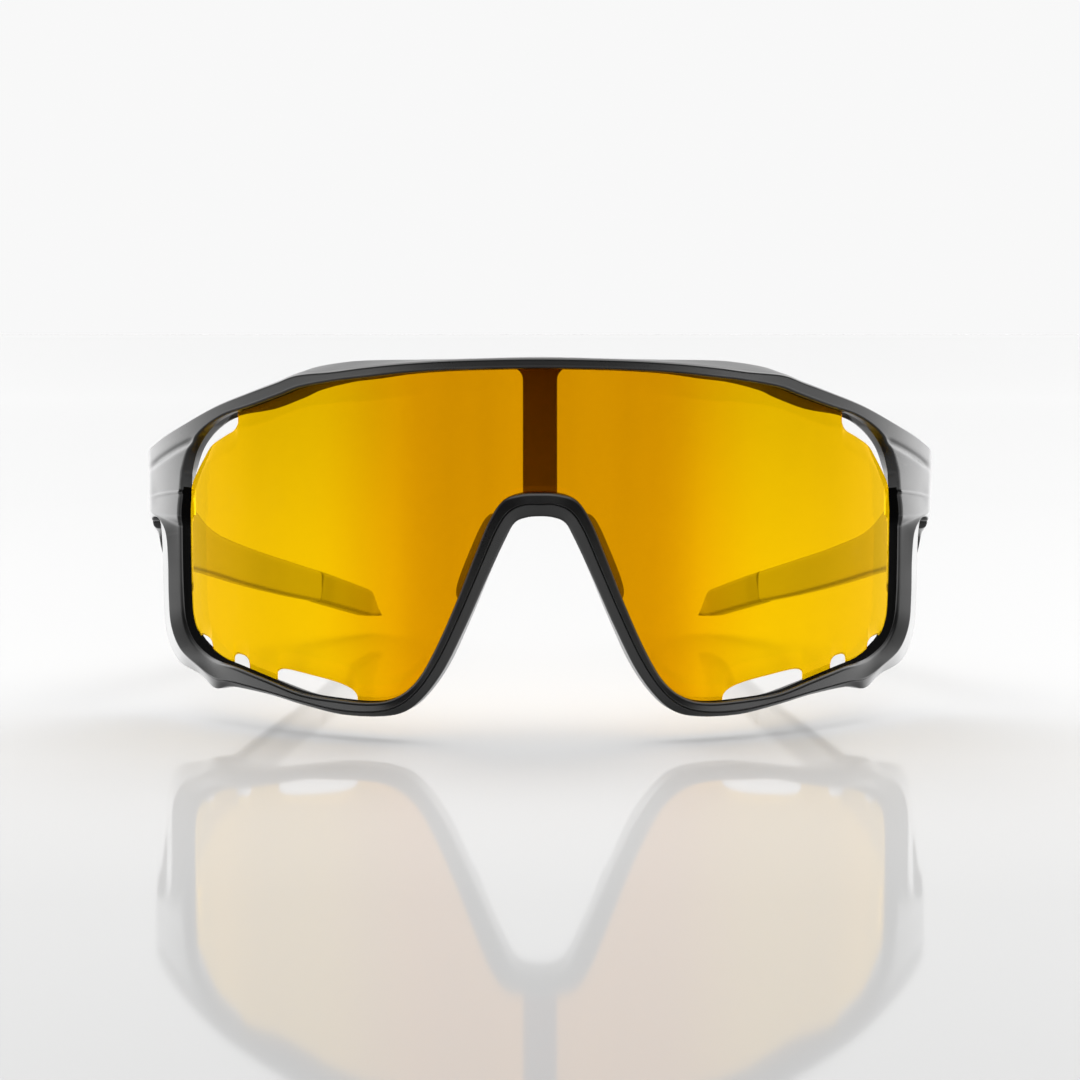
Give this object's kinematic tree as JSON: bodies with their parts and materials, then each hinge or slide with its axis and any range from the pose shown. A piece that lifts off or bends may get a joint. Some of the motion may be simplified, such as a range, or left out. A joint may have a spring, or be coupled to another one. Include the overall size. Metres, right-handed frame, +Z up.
{
  "type": "wraparound glacier glasses",
  "caption": "Wraparound glacier glasses: a full-rim shield lens with edge vents, folding temples and nose pads that rock on pins.",
  "frame": {"origin": "on the surface the glasses stand on, under the middle of their box with the temples open", "axes": "+Z up, -Y the way the wearer looks, +X to the wearer's left"},
  "size_m": [0.1524, 0.1591, 0.0642],
  "materials": {
    "frame_satin": "satin black moulded nylon",
    "mirror_lens": "gold mirror coat over see-through amber polycarbonate",
    "bridge_plastic": "matt moulded nylon",
    "hinge_steel": "satin stainless steel",
    "screw_steel": "turned stainless steel",
    "core_steel": "annealed steel strip",
    "grip_rubber": "fine matt rubber"
  },
  "bodies": {
    "front": {"front_frame": "frame_satin", "lens": "mirror_lens", "centre_strut": "frame_satin", "nose_bridge": "bridge_plastic", "left_frame_hinge": "hinge_steel", "right_frame_hinge": "hinge_steel", "left_hinge_screw": "screw_steel", "right_hinge_screw": "screw_steel", "left_hinge_nut": "screw_steel", "right_hinge_nut": "screw_steel", "left_pad_pin": "screw_steel", "right_pad_pin": "screw_steel"},
    "left_temple": {"left_temple_hinge": "hinge_steel", "left_temple_arm": "frame_satin", "left_temple_core": "core_steel", "left_temple_tip": "grip_rubber"},
    "right_temple": {"right_temple_hinge": "hinge_steel", "right_temple_arm": "frame_satin", "right_temple_core": "core_steel", "right_temple_tip": "grip_rubber"},
    "left_pad": {"left_pad_core": "bridge_plastic", "left_nose_pad": "grip_rubber"},
    "right_pad": {"right_pad_core": "bridge_plastic", "right_nose_pad": "grip_rubber"}
  },
  "joints": [
    {"name": "left_temple_fold", "type": "hinge", "parent": "front", "child": "left_temple", "pos_m": [0.06912, -0.026, 0.0384], "axis": [0, 0, 1], "range_deg": [0, 90]},
    {"name": "right_temple_fold", "type": "hinge", "parent": "front", "child": "right_temple", "pos_m": [-0.06912, -0.026, 0.0384], "axis": [0, 0, -1], "range_deg": [0, 77]},
    {"name": "left_pad_rock", "type": "hinge", "parent": "front", "child": "left_pad", "pos_m": [0.0119, -0.069, 0.0225], "axis": [-0.3827, 0, 0.9239], "range_deg": [-10, 10]},
    {"name": "right_pad_rock", "type": "hinge", "parent": "front", "child": "right_pad", "pos_m": [-0.0119, -0.069, 0.0225], "axis": [-0.3827, 0, -0.9239], "range_deg": [-10, 10]}
  ]
}
